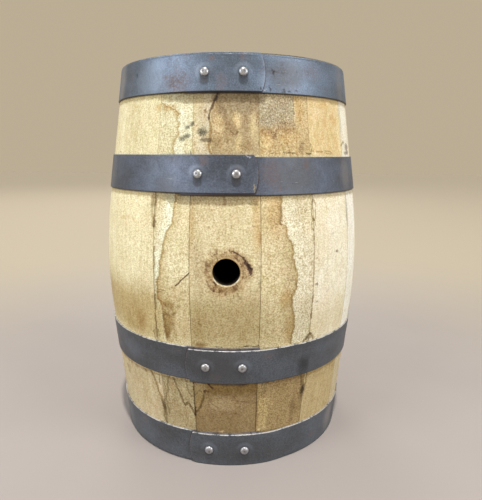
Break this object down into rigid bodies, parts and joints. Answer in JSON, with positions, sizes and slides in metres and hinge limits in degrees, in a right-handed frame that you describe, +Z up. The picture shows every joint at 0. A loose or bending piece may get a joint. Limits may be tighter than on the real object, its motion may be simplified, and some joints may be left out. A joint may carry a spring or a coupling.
{
  "type": "oak cask",
  "caption": "Small upright coopered oak cask: bent staves held by riveted steel hoops, a jointed head in each end and an open bung hole in the belly.",
  "frame": {"origin": "on the floor under the middle of the cask", "axes": "+Z up along the cask's axis, -Y out through the bung hole, +X to the right when the bung hole is faced"},
  "size_m": [0.312, 0.3119, 0.435],
  "materials": {
    "stave_oak": "raw, planed, water-stained",
    "head_oak": "raw, planed",
    "dowel_oak": "raw",
    "hoop_steel": "dark mill scale with light rust",
    "rivet_steel": "bright, hammered"
  },
  "bodies": {
    "root": {"bung_stave": "stave_oak", "stave_01": "stave_oak", "stave_02": "stave_oak", "stave_03": "stave_oak", "stave_04": "stave_oak", "stave_05": "stave_oak", "stave_06": "stave_oak", "stave_07": "stave_oak", "stave_08": "stave_oak", "stave_09": "stave_oak", "stave_10": "stave_oak", "stave_11": "stave_oak", "stave_12": "stave_oak", "stave_13": "stave_oak", "stave_14": "stave_oak", "top_head_board_1": "head_oak", "top_head_board_2": "head_oak", "top_head_board_3": "head_oak", "top_head_board_4": "head_oak", "top_head_board_5": "head_oak", "bottom_head_board_1": "head_oak", "bottom_head_board_2": "head_oak", "bottom_head_board_3": "head_oak", "bottom_head_board_4": "head_oak", "bottom_head_board_5": "head_oak", "top_head_dowels": "dowel_oak", "bottom_head_dowels": "dowel_oak", "top_head_hoop": "hoop_steel", "upper_quarter_hoop": "hoop_steel", "lower_quarter_hoop": "hoop_steel", "bottom_head_hoop": "hoop_steel", "top_head_hoop_rivets": "rivet_steel", "upper_quarter_hoop_rivets": "rivet_steel", "lower_quarter_hoop_rivets": "rivet_steel", "bottom_head_hoop_rivets": "rivet_steel"}
  },
  "joints": []
}
